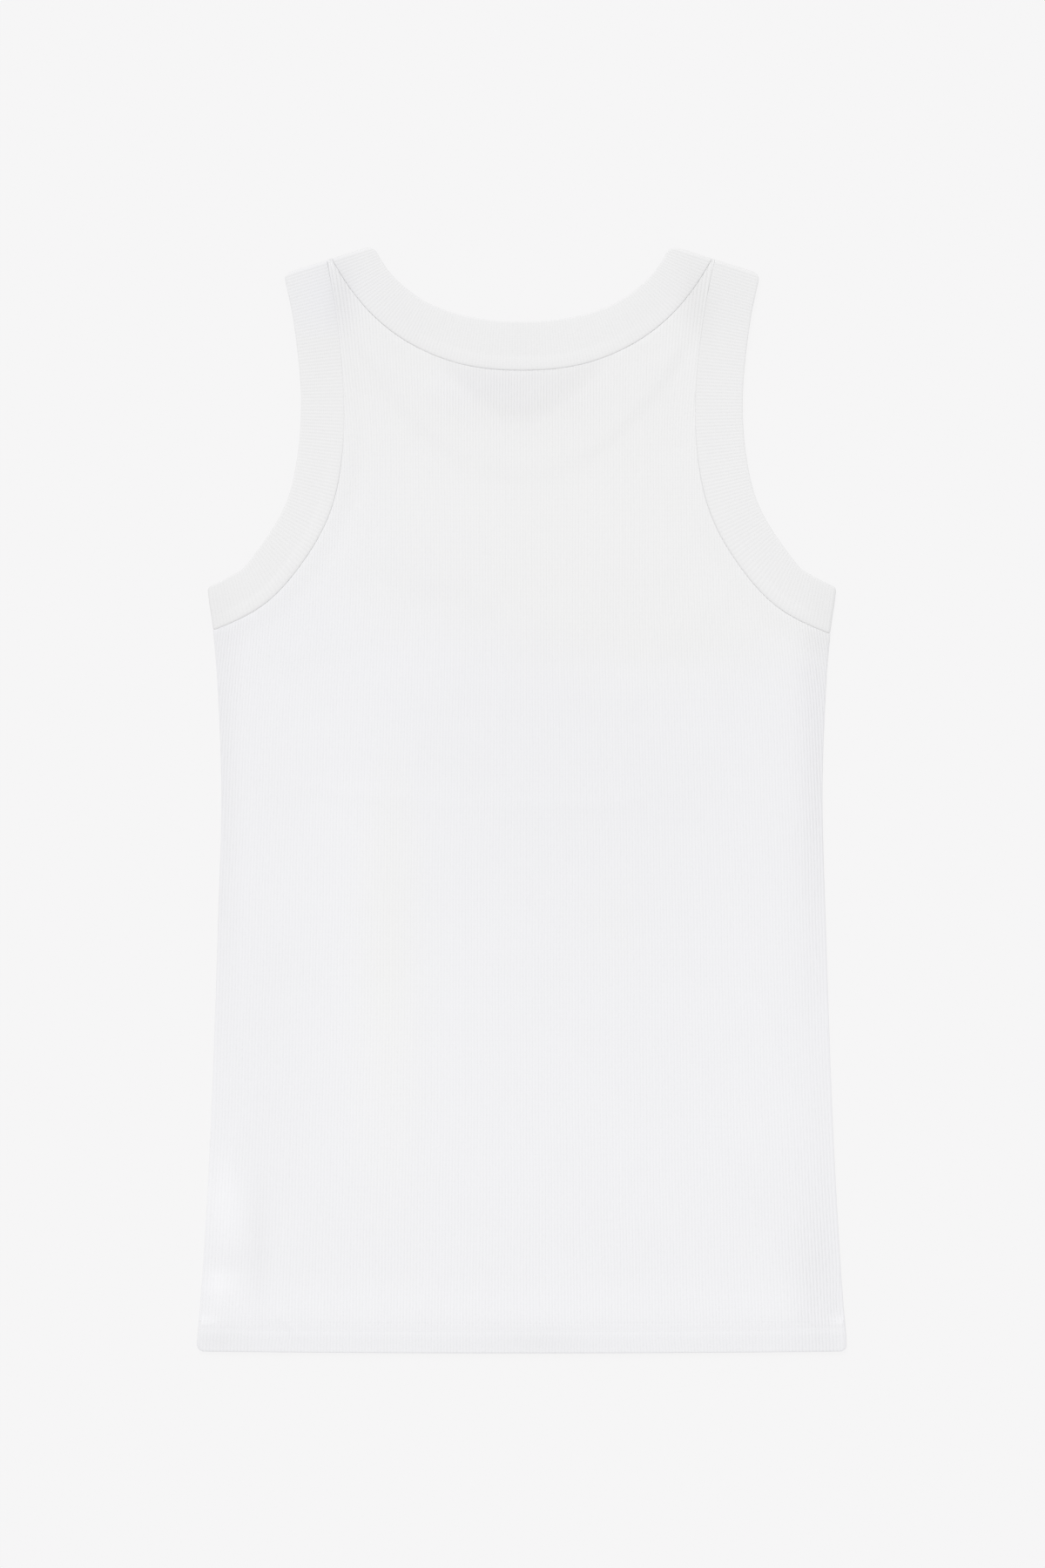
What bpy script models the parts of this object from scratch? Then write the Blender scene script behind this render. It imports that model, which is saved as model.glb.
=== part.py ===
"""A sleeveless rib-knit tank top laid flat on its front, back up, on the plane z = 0.

+X is the wearer's right, +Y runs from the hem to the shoulders and +Z is up. The origin is under the middle
of the box that holds the garment. Sizes are in millimetres here and become metres where a mesh is made.
"""

import math

import bpy
import numpy as np
from mathutils.geometry import delaunay_2d_cdt

MM = 0.001

LENGTH = 720.6  # top of the shoulders to the bottom of the hem
CLOTH = 1.1  # single rib cloth
BAND = 2.0  # the same cloth doubled, as in every binding
GAP = 0.3  # between layers, and between pieces at a seam
HEM_DEPTH = 18.0  # cloth turned up inside at the hem, which makes it double
HEM_STEP = 5.0  # length over which the turned-up cloth ends
HEM_BOW = 1.2  # how far the middle of the hem hangs below its corners
HEM_CORNER = 5.0  # radius where hem and side meet

PANEL_REST = CLOTH + GAP  # underside of the back where it lies on the single front
BAND_REST = BAND + GAP  # underside of the back where it lies on a front binding
FOLD = (BAND_REST + BAND) / 2  # outer radius of a binding where it turns under
SEAM_LIFT = (BAND - CLOTH) / 2  # raises the back panel to the middle of the binding sewn to it
LIFT_REACH = 14.0  # how far from such a seam the panel comes down again
BAND_REACH = 6.0  # how far from the front neck binding the back comes down to the front panel
SAG_START = 1.5  # how far past the front neckline the back begins to come down to the surface
SAG_REACH = 12.0  # and how much further it goes until it lies there

SHOULDER_SLOPE = math.radians(17.6)
NECK_CORNER = (97.4, 0.3)  # half width and drop where the neck opening meets the shoulder

# Half width of the body at each drop below the top of the shoulders, from underarm to hem.
SIDE = {
    "drop": (222.8, 248.0, 294.0, 362.0, 452.0, 566.0, 657.0, 702.0, 714.0),
    "half": (204.7, 201.2, 197.6, 195.6, 198.1, 202.1, 207.0, 210.4, 211.6),
}
# Half width between the straps' outer edges, from shoulder to underarm.
ARMHOLE = {
    "drop": (18.7, 52.7, 98.0, 138.0, 171.8, 205.8, 215.0, 222.8),
    "half": (154.8, 148.0, 143.6, 146.0, 155.1, 177.5, 189.0, 204.7),
}
# Half width of the neck opening at the back and at the front, from shoulder to centre.
NECK_BACK = {
    "drop": (0.3, 18.7, 35.7, 44.6, 48.6, 49.6),
    "half": (97.0, 85.3, 64.6, 42.2, 20.0, 0.0),
}
NECK_FRONT = {
    "drop": (0.3, 30.0, 58.0, 82.0, 104.5, 113.6, 116.2),
    "half": (97.0, 88.0, 72.5, 52.0, 28.5, 13.0, 0.0),
}
# Width of each binding at shares of its way, from the shoulder to the centre or to the underarm.
NECK_WIDTH = {"share": (0.0, 0.45, 0.75, 1.0), "width": (27.6, 30.0, 33.0, 32.0)}
LEFT_WIDTH = {"share": (0.0, 0.3, 0.65, 1.0), "width": (29.2, 27.6, 30.0, 27.0)}
RIGHT_WIDTH = {"share": (0.0, 0.3, 0.65, 1.0), "width": (30.6, 30.6, 32.2, 29.2)}

NECK_STATIONS = 21  # sections of the neck binding from a shoulder to the centre
ARM_STATIONS = 25  # sections of an arm binding from shoulder to underarm
NECK_FACES = 5  # faces across the neck binding
ARM_FACES = 3
FOLD_FACES = 4  # faces round a fold
GRID = 21.0  # spacing of the points inside a panel
OUTLINE_STEP = 12.0
ROW_STEP = 9.0  # spacing of the points along the rows where a panel changes height
CLOSEST = 4.5  # no point inside a panel is nearer than this to another


def smooth(share):
    """0 below 0, 1 above 1, with a soft rise between."""
    share = np.clip(share, 0.0, 1.0)
    return share * share * (3 - 2 * share)


def unit(vector):
    return vector / np.linalg.norm(vector, axis=-1, keepdims=True)


def evenly(line, count):
    """count points at even distances along a line of short straight pieces."""
    way = np.r_[0, np.cumsum(np.linalg.norm(np.diff(line, axis=0), axis=1))]
    at = np.linspace(0, way[-1], count)
    return np.column_stack([np.interp(at, way, line[:, k]) for k in (0, 1)])


def by_step(line, step):
    length = np.linalg.norm(np.diff(line, axis=0), axis=1).sum()
    return evenly(line, max(2, round(length / step) + 1))


def curve_through(table):
    """A Catmull-Rom curve through a table's rows, on the wearer's right."""
    points = np.column_stack([table["half"], LENGTH / 2 - np.array(table["drop"])])
    framed = np.vstack([2 * points[0] - points[1], points, 2 * points[-1] - points[-2]])
    t = np.linspace(0, 1, 24, endpoint=False)[:, None]
    pieces = [
        b + t * (c - a) / 2 + t**2 * (a - 2.5 * b + 2 * c - d / 2) + t**3 * (1.5 * (b - c) + (d - a) / 2)
        for a, b, c, d in zip(framed, framed[1:], framed[2:], framed[3:])
    ]
    return np.vstack([*pieces, points[-1:]])


def cut_at(line, point, outward):
    """The line with its first stretch cut back, or drawn out, to the fold through point."""
    inner = line[((line - point) @ outward) < 0]
    step = inner[0] - inner[1]
    reach = -((inner[0] - point) @ outward) / (step @ outward)
    return np.vstack([inner[0] + step * reach, inner])


def seam_along(edge, widths, gap, first, last=None):
    """The line that a binding's edge is sewn along, gap further on.

    first and last are the directions of the folds, which the end sections lie on.
    """
    share = np.linspace(0, 1, len(edge))
    along = unit(np.gradient(edge, axis=0))
    across = np.column_stack([along[:, 1], -along[:, 0]])
    across *= np.sign(across[0] @ first)
    width = np.interp(share, widths["share"], widths["width"]) + gap
    leaning = across + (first - across) * (1 - smooth(share / 0.3))[:, None]
    if last is not None:
        leaning += (last - across) * smooth((share - 0.7) / 0.3)[:, None]
    leaning = unit(leaning)
    return edge + leaning * (width / (leaning * across).sum(axis=1))[:, None]


def distance(points, line):
    """How far each point is from a line of short straight pieces."""
    a, b = line[:-1], line[1:]
    to_point = points[:, None, :] - a
    share = np.clip((to_point * (b - a)).sum(-1) / ((b - a) ** 2).sum(-1), 0, 1)
    return np.linalg.norm(to_point - share[..., None] * (b - a), axis=-1).min(axis=1)


def within(points, outline):
    """Whether each point is inside a closed outline."""
    x, y = points.T
    found = np.zeros(len(points), bool)
    for (ax, ay), (bx, by) in zip(outline, np.roll(outline, -1, axis=0)):
        if ay != by:
            found ^= ((ay > y) != (by > y)) & (x < (bx - ax) * (y - ay) / (by - ay) + ax)
    return found


def flipped(line):
    return line * (-1, 1)


def across_centre(line):
    """A line from a shoulder to the centre, joined to its mirror image."""
    return np.vstack([line, flipped(line[-2::-1])])


def above(points, line):
    """Whether each point is on the neck's side of a line that runs from shoulder to shoulder."""
    past_shoulders = (0, LENGTH / 4)
    return within(points, np.vstack([line[:1] + past_shoulders, line, line[-1:] + past_shoulders]))


SHOULDER_UP = np.array([math.sin(SHOULDER_SLOPE), math.cos(SHOULDER_SLOPE)])
SHOULDER_IN = np.array([-math.cos(SHOULDER_SLOPE), math.sin(SHOULDER_SLOPE)])
SHOULDER_FOLD = np.array([NECK_CORNER[0], LENGTH / 2 - NECK_CORNER[1]]) - SHOULDER_UP * FOLD

SIDE_LINE = curve_through(SIDE)
SIDE_DOWN = unit(SIDE_LINE[24] - SIDE_LINE[0])
SIDE_OUT = np.array([-SIDE_DOWN[1], SIDE_DOWN[0]])
SIDE_FOLD = SIDE_LINE[0] - SIDE_OUT * FOLD

BACK_EDGE = evenly(cut_at(curve_through(NECK_BACK), SHOULDER_FOLD, SHOULDER_UP), NECK_STATIONS)
FRONT_EDGE = evenly(cut_at(curve_through(NECK_FRONT), SHOULDER_FOLD, SHOULDER_UP), NECK_STATIONS)
ARM_EDGE = cut_at(curve_through(ARMHOLE), SHOULDER_FOLD, SHOULDER_UP)
ARM_EDGE = evenly(cut_at(ARM_EDGE[::-1], SIDE_FOLD, SIDE_OUT)[::-1], ARM_STATIONS)


def neck_seam(edge, gap=0.0):
    return seam_along(edge, NECK_WIDTH, gap, -SHOULDER_IN)


def arm_seam(widths, gap=0.0):
    return seam_along(ARM_EDGE, widths, gap, SHOULDER_IN, SIDE_DOWN)


FRONT_OPENING = across_centre(FRONT_EDGE)
FRONT_SEAM = across_centre(neck_seam(FRONT_EDGE))
BACK_SEAM = across_centre(neck_seam(BACK_EDGE))
LEFT_SEAM = flipped(arm_seam(LEFT_WIDTH))
RIGHT_SEAM = arm_seam(RIGHT_WIDTH)


def hem_share(points):
    """1 where the hem is turned up, 0 above it."""
    return 1 - smooth((points[:, 1] + LENGTH / 2 - HEM_DEPTH) / HEM_STEP)


def neck_rest(points):
    """Height of the back's underside over the front's neck opening, binding and panel."""
    beyond = smooth((distance(points, FRONT_OPENING) - SAG_START) / SAG_REACH)
    over_opening = BAND_REST * (1 - beyond)
    near_band = 1 - smooth(distance(points, FRONT_SEAM) / BAND_REACH)
    over_panel = PANEL_REST + (BAND_REST - PANEL_REST) * near_band
    over_panel[above(points, FRONT_SEAM)] = BAND_REST
    return np.where(above(points, FRONT_OPENING), over_opening, over_panel)


def back_underside(points):
    """Height of the back panel's underside: on the layers below, and up to the bindings at its seams."""
    rest = neck_rest(points) + CLOTH * hem_share(points)
    near_arm = np.maximum(*(1 - smooth(distance(points, seam) / LIFT_REACH) for seam in (LEFT_SEAM, RIGHT_SEAM)))
    near_neck = 1 - smooth(distance(points, BACK_SEAM) / LIFT_REACH)
    beside_arm = rest + (BAND_REST + SEAM_LIFT - rest) * near_arm
    return np.maximum(beside_arm, rest + SEAM_LIFT * near_neck)


def half_outline(edge, widths):
    """Half of a panel's outline on the wearer's right, from the middle of the hem to the neck."""
    bottom = -LENGTH / 2
    corner_x = SIDE["half"][-1] - HEM_CORNER
    x = np.linspace(0, corner_x, 30)
    hem = np.column_stack([x, bottom + HEM_BOW * (x / corner_x) ** 2])
    turn = np.linspace(-math.pi / 2, 0, 5)[1:-1]
    corner = hem[-1] + (0, HEM_CORNER) + HEM_CORNER * np.column_stack([np.cos(turn), np.sin(turn)])
    arm = arm_seam(widths, GAP)[::-1]
    neck = neck_seam(edge, GAP)
    underarm = arm[0] + SIDE_OUT * FOLD
    side = SIDE_LINE[::-1]
    side = np.vstack([side[side[:, 1] < underarm[1] - CLOSEST], underarm])
    tip = np.array([arm[-1], neck[0]]) + SHOULDER_UP * FOLD
    return np.vstack([by_step(hem, OUTLINE_STEP), corner, by_step(side, OUTLINE_STEP), arm, tip, neck])


def panel_outline(edge):
    right = half_outline(edge, RIGHT_WIDTH)
    left = flipped(half_outline(edge, LEFT_WIDTH))
    return np.vstack([right, left[-2:0:-1]])


def hem_rows():
    ends = SIDE["half"][-1] * np.array([[-1, 0], [1, 0]])
    return [ends + (0, HEM_DEPTH - LENGTH / 2 + rise) for rise in (0, HEM_STEP)]


def neck_rows():
    """Rows that follow the front neckline, where the back panel comes down to the surface and to the front."""
    wider = {"share": (0.0, 1.0)}
    rows = [FRONT_OPENING, FRONT_SEAM]
    for reach in (SAG_START + SAG_REACH / 2, SAG_START + SAG_REACH):
        rows.append(across_centre(seam_along(FRONT_EDGE, wider | {"width": (-reach, -reach)}, 0, -SHOULDER_IN)))
    rows.append(across_centre(neck_seam(FRONT_EDGE, BAND_REACH)))
    rows.append(across_centre(neck_seam(BACK_EDGE, LIFT_REACH)))
    return rows


def arm_rows():
    return [flipped(arm_seam(LEFT_WIDTH, LIFT_REACH)), arm_seam(RIGHT_WIDTH, LIFT_REACH)]


def staggered_grid():
    """Points on a grid whose every other row is shifted by half a space."""
    rows = np.arange(-LENGTH / 2, LENGTH / 2, GRID * math.sqrt(3) / 2)
    reach = SIDE["half"][-1]
    for number, y in enumerate(rows):
        for x in np.arange(-reach + GRID / 2 * (number % 2), reach, GRID):
            yield x, y


def inner_points(outline, rows):
    """The rows' points and then the grid's, leaving out those outside the panel or too near another."""
    candidates = np.vstack([*(by_step(row, ROW_STEP) for row in rows), list(staggered_grid())])
    candidates = candidates[within(candidates, outline)]
    edge = np.vstack([outline, outline[:1]])
    candidates = candidates[distance(candidates, edge) > CLOSEST]
    kept = []
    for point in candidates:
        if all(math.dist(point, other) > CLOSEST for other in kept):
            kept.append(point)
    return np.array(kept)


def cloth_material(name, color):
    material = bpy.data.materials.new(name)
    material.use_nodes = True
    shader = material.node_tree.nodes["Principled BSDF"]
    shader.inputs["Base Color"].default_value = (*color, 1)
    shader.inputs["Roughness"].default_value = 0.9
    shader.inputs["Metallic"].default_value = 0.0
    return material


def add_piece(name, points, faces, material):
    mesh = bpy.data.meshes.new(name)
    mesh.from_pydata((np.asarray(points) * MM).tolist(), [], faces)
    mesh.validate()
    mesh.materials.append(material)
    piece = bpy.data.objects.new(name, mesh)
    bpy.context.scene.collection.objects.link(piece)
    return piece


def add_panel(name, outline, rows, underside, material):
    """A cloth wall over a plan: its underside follows underside(points) and its hem is double."""
    plan = np.vstack([outline, inner_points(outline, rows)])
    rim = len(outline)
    edges = [(k, (k + 1) % rim) for k in range(rim)]
    made = delaunay_2d_cdt(plan.tolist(), edges, [], 1, 1e-5)
    plan = np.array([tuple(point) for point in made[0]])
    triangles = [tuple(face) for face in made[2]]
    low = underside(plan)
    high = low + CLOTH * (1 + hem_share(plan))
    count = len(plan)
    points = np.vstack([np.column_stack([plan, low]), np.column_stack([plan, high])])
    faces = [(c, b, a) for a, b, c in triangles]
    faces += [(a + count, b + count, c + count) for a, b, c in triangles]
    faces += [(a, b, b + count, a + count) for a, b in edges]
    return add_piece(name, points, faces, material)


def flat_half(edge, seam, faces, rest, up):
    """Sections of a binding's back half, or of its front half with its outer side down."""
    share = np.linspace(0, 1, faces + 1)[:, None]
    sections = []
    for a, b in zip(edge, seam):
        plan = a + (b - a) * share
        low = rest(plan)
        outer, inner = (low + BAND, low) if up else (low, low + BAND)
        sections.append((np.column_stack([plan, outer]), np.column_stack([plan, inner])))
    return sections


def fold(edge_point, seam_point, outward, faces, down):
    """Sections round a fold, from the back half to the front half or, going up, the other way."""
    share = np.linspace(0, 1, faces + 1)[:, None]
    plan = edge_point + (seam_point - edge_point) * share
    sections = []
    for turn in np.linspace(0, math.pi, FOLD_FACES + 1)[1:-1]:
        turn = turn if down else math.pi - turn
        rows = []
        for radius in (FOLD, FOLD - BAND):
            moved = plan + outward * radius * math.sin(turn)
            rows.append(np.column_stack([moved, np.full(len(plan), FOLD + radius * math.cos(turn))]))
        sections.append(tuple(rows))
    return sections


def add_ring(name, sections, material):
    """A closed ring skinned over its sections, each an outer and an inner row of points."""
    loops = [np.vstack([outer, inner[::-1]]) for outer, inner in sections]
    size = len(loops[0])
    faces = []
    for number in range(len(loops)):
        after = (number + 1) % len(loops)
        for k in range(size):
            near, far = number * size, after * size
            faces.append((near + k, near + (k + 1) % size, far + (k + 1) % size, far + k))
    return add_piece(name, np.vstack(loops), faces, material)


def on_surface(points):
    return np.zeros(len(points))


def on_binding(points):
    return np.full(len(points), BAND_REST)


def face_outward(piece):
    """Turns every face round if the mesh is inside out."""
    mesh = piece.data
    mesh.calc_loop_triangles()
    points = np.array([vertex.co for vertex in mesh.vertices])
    corners = points[np.array([tuple(triangle.vertices) for triangle in mesh.loop_triangles])]
    if np.linalg.det(corners).sum() < 0:
        mesh.flip_normals()


def add_neck_binding(material):
    back_edge, back_sewn = across_centre(BACK_EDGE), BACK_SEAM
    front_edge, front_sewn = FRONT_OPENING[::-1], FRONT_SEAM[::-1]
    sections = flat_half(back_edge, back_sewn, NECK_FACES, neck_rest, True)
    sections += fold(back_edge[-1], back_sewn[-1], SHOULDER_UP * (-1, 1), NECK_FACES, True)
    sections += flat_half(front_edge, front_sewn, NECK_FACES, on_surface, False)
    sections += fold(back_edge[0], back_sewn[0], SHOULDER_UP, NECK_FACES, False)
    return add_ring("neck_binding", sections, material)


def add_arm_binding(name, widths, side, material):
    mirror = np.array([side, 1])
    edge, sewn = ARM_EDGE * mirror, arm_seam(widths) * mirror
    sections = flat_half(edge, sewn, ARM_FACES, on_binding, True)
    sections += fold(edge[-1], sewn[-1], SIDE_OUT * mirror, ARM_FACES, True)
    sections += flat_half(edge[::-1], sewn[::-1], ARM_FACES, on_surface, False)
    sections += fold(edge[0], sewn[0], SHOULDER_UP * mirror, ARM_FACES, False)
    return add_ring(name, sections, material)


def main():
    for old in list(bpy.data.objects):
        bpy.data.objects.remove(old, do_unlink=True)
    body = cloth_material("rib_body", (0.86, 0.86, 0.88))
    binding = cloth_material("rib_binding", (0.84, 0.84, 0.84))
    shaped_rows = hem_rows() + neck_rows() + arm_rows()
    pieces = [
        add_panel("front_panel", panel_outline(FRONT_EDGE), hem_rows(), on_surface, body),
        add_panel("back_panel", panel_outline(BACK_EDGE), shaped_rows, back_underside, body),
        add_neck_binding(binding),
        add_arm_binding("left_arm_binding", LEFT_WIDTH, -1, binding),
        add_arm_binding("right_arm_binding", RIGHT_WIDTH, 1, binding),
    ]
    for piece in pieces:
        face_outward(piece)


main()
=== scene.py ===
import math
import bpy
import numpy as np
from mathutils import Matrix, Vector
from mathutils.geometry import delaunay_2d_cdt


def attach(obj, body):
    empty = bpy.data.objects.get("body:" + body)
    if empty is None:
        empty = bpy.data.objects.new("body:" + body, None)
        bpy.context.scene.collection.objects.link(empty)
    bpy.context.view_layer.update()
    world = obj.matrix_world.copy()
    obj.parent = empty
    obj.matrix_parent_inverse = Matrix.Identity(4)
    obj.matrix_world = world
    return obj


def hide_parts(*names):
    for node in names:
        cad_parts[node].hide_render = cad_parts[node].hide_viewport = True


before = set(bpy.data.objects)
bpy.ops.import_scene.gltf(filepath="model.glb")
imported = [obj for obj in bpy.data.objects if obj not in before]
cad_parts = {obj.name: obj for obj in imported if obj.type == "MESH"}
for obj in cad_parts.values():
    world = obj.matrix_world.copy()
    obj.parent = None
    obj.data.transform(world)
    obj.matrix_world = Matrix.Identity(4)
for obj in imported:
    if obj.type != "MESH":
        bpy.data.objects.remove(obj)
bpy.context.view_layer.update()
print("frame loaded")

mm = 0.001  # everything below is in millimetres until a mesh is made

# the garment as laid: sizes and levels shared by all of its pieces
garment = {
    "length": 720.6,  # top of the shoulders to the bottom of the hem
    "cloth": 1.1,  # one layer of rib
    "band": 2.0,  # a binding, which is the same cloth doubled
    "neckGap": 0.03,  # between a panel and the binding sewn to it
    "armGap": -0.04,  # pressed tight
    "overPanel": 1.4,  # underside of the back where it lies on the front
    "overBand": 2.3,  # underside of the back where it lies on a front binding
    "seamLift": 0.45,  # raises the back to the middle of the binding sewn to it
    "strapLift": 0.4,  # and on up to its face along the straps
    "liftReach": 14.0,  # how far from a seam the back comes down again
    "bandReach": 9.0,  # how far from the front neck binding the back comes down to the front
    "sagStart": 1.5,  # how far past the front neckline the back begins to sink to the floor
    "sagReach": 58.0,
    "shoulderSlope": 17.6,  # degrees
    "lean": 0.3,  # share of a seam over which it turns to run square into its fold
    "neckCorner": (97.4, 0.3),  # half width and drop where the neck meets the shoulder
    "hemDepth": 18.0,
    "hemBow": 1.2,  # how far the middle of the hem hangs below its corners
    "hemCorner": 5.0,
}

# half width of the body and of the openings at each drop below the shoulders
side = {
    "drop": (222.8, 248.0, 294.0, 362.0, 452.0, 566.0, 657.0, 702.0, 714.0),
    "half": (204.7, 201.2, 197.6, 195.6, 198.1, 202.1, 207.0, 210.4, 211.6),
}
armhole = {
    "drop": (18.7, 52.7, 98.0, 138.0, 171.8, 205.8, 215.0, 222.8),
    "half": (154.8, 148.0, 143.6, 146.0, 155.1, 177.5, 189.0, 204.7),
}
neckBack = {
    "drop": (0.3, 18.7, 35.7, 44.6, 48.6, 49.6),
    "half": (97.0, 85.3, 64.6, 42.2, 20.0, 0.0),
}
neckFront = {
    "drop": (0.3, 30.0, 58.0, 82.0, 104.5, 113.6, 116.2),
    "half": (97.0, 88.0, 72.5, 52.0, 28.5, 13.0, 0.0),
}
# width of each binding at shares of its way from the shoulder
neckWidth = {"share": (0.0, 0.45, 0.75, 1.0), "width": (27.6, 30.0, 33.0, 32.0)}
leftWidth = {"share": (0.0, 0.3, 0.65, 1.0), "width": (29.2, 27.6, 30.0, 27.0)}
rightWidth = {"share": (0.0, 0.3, 0.65, 1.0), "width": (30.6, 30.6, 32.2, 29.2)}

top = garment["length"] / 2
bottom = -top


def smooth(share):
    share = np.clip(share, 0.0, 1.0)
    return share * share * (3 - 2 * share)


def unit(vectors):
    return vectors / np.linalg.norm(vectors, axis=-1, keepdims=True)


def wayAlong(line):
    return np.r_[0, np.cumsum(np.linalg.norm(np.diff(line, axis=0), axis=1))]


def readAt(line, way, at):  # the line's points at these places along it
    return np.column_stack([np.interp(at, way, part) for part in line.T])


def evenly(line, count):
    way = wayAlong(line)
    return readAt(line, way, np.linspace(0, way[-1], count))


def byStep(line, step):
    return evenly(line, max(2, round(wayAlong(line)[-1] / step) + 1))


curveSteps = 24  # points from one row of a table to the next


def curveThrough(table):  # a Catmull-Rom curve through a table's rows, on the right half
    points = np.column_stack([table["half"], top - np.array(table["drop"])])
    framed = np.vstack([2 * points[0] - points[1], points, 2 * points[-1] - points[-2]])
    t = np.linspace(0, 1, curveSteps, endpoint=False)[:, None]
    pieces = [
        b + t * (c - a) / 2 + t**2 * (a - 2.5 * b + 2 * c - d / 2) + t**3 * (1.5 * (b - c) + (d - a) / 2)
        for a, b, c, d in zip(framed, framed[1:], framed[2:], framed[3:])
    ]
    return np.vstack([*pieces, points[-1:]])


def softened(line, reach):  # evens out a line over this many of its points, and keeps its ends
    way = np.arange(-3 * reach, 3 * reach + 1)
    weights = np.exp(-((way / reach) ** 2))
    weights /= weights.sum()
    before = 2 * line[0] - line[3 * reach:0:-1]
    after = 2 * line[-1] - line[-2:-3 * reach - 2:-1]
    framed = np.vstack([before, line, after])
    return np.column_stack([np.convolve(framed[:, k], weights, "valid") for k in (0, 1)])


def cutAt(line, point, outward):  # cuts or draws out the line's start to the fold through point
    inner = line[((line - point) @ outward) < 0]
    step = inner[0] - inner[1]
    reach = -((inner[0] - point) @ outward) / (step @ outward)
    return np.vstack([inner[0] + step * reach, inner])


seamEvening = 6  # points over which a seam is evened out


def seamAlong(edge, widths, gap, first, last=None):  # the edge moved sideways by the binding's width
    share, lean = np.linspace(0, 1, len(edge)), garment["lean"]
    along = unit(np.gradient(edge, axis=0))
    across = np.column_stack([along[:, 1], -along[:, 0]])
    across *= np.sign(across[0] @ first)
    width = np.interp(share, widths["share"], widths["width"]) + gap
    leaning = across + (first - across) * (1 - smooth(share / lean))[:, None]
    if last is not None:
        leaning += (last - across) * smooth((share - 1 + lean) / lean)[:, None]
    leaning = unit(leaning)
    return softened(edge + leaning * (width / (leaning * across).sum(axis=1))[:, None], seamEvening)


def distance(points, line):
    found = np.full(len(points), np.inf)
    for a, b in zip(line[:-1], line[1:]):
        share = np.clip(((points - a) @ (b - a)) / ((b - a) @ (b - a)), 0, 1)
        away = points - a - share[:, None] * (b - a)
        found = np.minimum(found, (away**2).sum(axis=1))
    return np.sqrt(found)


def within(points, outline):
    x, y = points.T
    found = np.zeros(len(points), bool)
    for (ax, ay), (bx, by) in zip(outline, np.roll(outline, -1, axis=0)):
        if ay != by:
            found ^= ((ay > y) != (by > y)) & (x < (bx - ax) * (y - ay) / (by - ay) + ax)
    return found


def flipped(line):
    return line * (-1, 1)


def acrossCentre(line):
    return np.vstack([line, flipped(line[-2::-1])])


def above(points, line):  # on the neck's side of a line from shoulder to shoulder
    past = (0, 150)  # well beyond the shoulders
    return within(points, np.vstack([line[:1] + past, line, line[-1:] + past]))


slope = math.radians(garment["shoulderSlope"])
foldOut = (garment["overBand"] + garment["band"]) / 2  # radius of a binding's fold
shoulderUp = np.array([math.sin(slope), math.cos(slope)])
shoulderIn = np.array([-math.cos(slope), math.sin(slope)])
shoulderFold = np.array([garment["neckCorner"][0], top - garment["neckCorner"][1]]) - shoulderUp * foldOut
sideLine = curveThrough(side)
sideDown = unit(sideLine[curveSteps] - sideLine[0])
sideOut = np.array([-sideDown[1], sideDown[0]])
sideFold = sideLine[0] - sideOut * foldOut
lineStep = 2.5


def evenAtCentre(half, reach):  # takes out the kink where a line meets its mirror image
    return softened(acrossCentre(half), reach)[:len(half)]


def neckEdge(table):
    return evenAtCentre(byStep(cutAt(curveThrough(table), shoulderFold, shoulderUp), lineStep), 2)


backEdge, frontEdge = neckEdge(neckBack), neckEdge(neckFront)
armEdge = cutAt(curveThrough(armhole), shoulderFold, shoulderUp)
armEdge = byStep(cutAt(armEdge[::-1], sideFold, sideOut)[::-1], lineStep)


def neckSeam(edge, gap=0.0):
    return evenAtCentre(seamAlong(edge, neckWidth, gap, -shoulderIn, np.array([0.0, -1.0])), 4)


def armSeam(widths, gap=0.0):
    return seamAlong(armEdge, widths, gap, shoulderIn, sideDown)


frontOpening = acrossCentre(frontEdge)
frontSeam = acrossCentre(neckSeam(frontEdge))
backSeam = acrossCentre(neckSeam(backEdge))
leftSeam = flipped(armSeam(leftWidth))
rightSeam = armSeam(rightWidth)
strapTip = np.array([rightSeam[0], neckSeam(backEdge)[0]]) + shoulderUp * foldOut
print("outlines drawn")

# how the ribs run: straight down the middle, with the sides towards the hem
ribs = {
    "course": 1.35,  # height of one knitted loop
    "depth": 0.21,
    "atRim": 0.6,  # share of the depth left on the very edge
    "squeeze": 0.45,  # share of it that the lower row of stitches presses out, and how far from it
    "squeezeReach": 1.6,
    "pitch": 1.956,
    "phases": (0.0, 0.27, 0.5, 0.73),  # mesh columns of one rib, from its crest
    "eachWay": 112,  # ribs counted out from the middle
    # how wide they spread, in the middle and at the sides, at each drop below the shoulders
    "drop": (0, 60, 110, 222, 300, 362, 566, 721),
    "middle": (0.99, 0.975, 0.962, 0.96, 0.985, 1.0, 1.025, 1.05),
    "sides": (1.42, 1.13, 0.95, 0.945, 0.985, 1.0, 1.035, 1.078),
    "reach": 196.0,  # half width of the body at the waist
    "sways": [(0.22, 0.021, 0.034, 1.1), (0.12, 0.067, -0.05, 0)],  # size, turns by y and by x, start
    "bends": [  # where the ribs swing sideways: x, y, reach in x and y, millimetres
        (198, -327, 9, 12, -1.6),
        (-150, -347, 10, 7, 1.3),
        (-60, 205, 40, 60, -0.9),
        (70, 190, 45, 60, 0.8),
        (25, -347, 30, 5, 0.7),
        (90, -350, 35, 6, -0.6),
    ],
}


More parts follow.
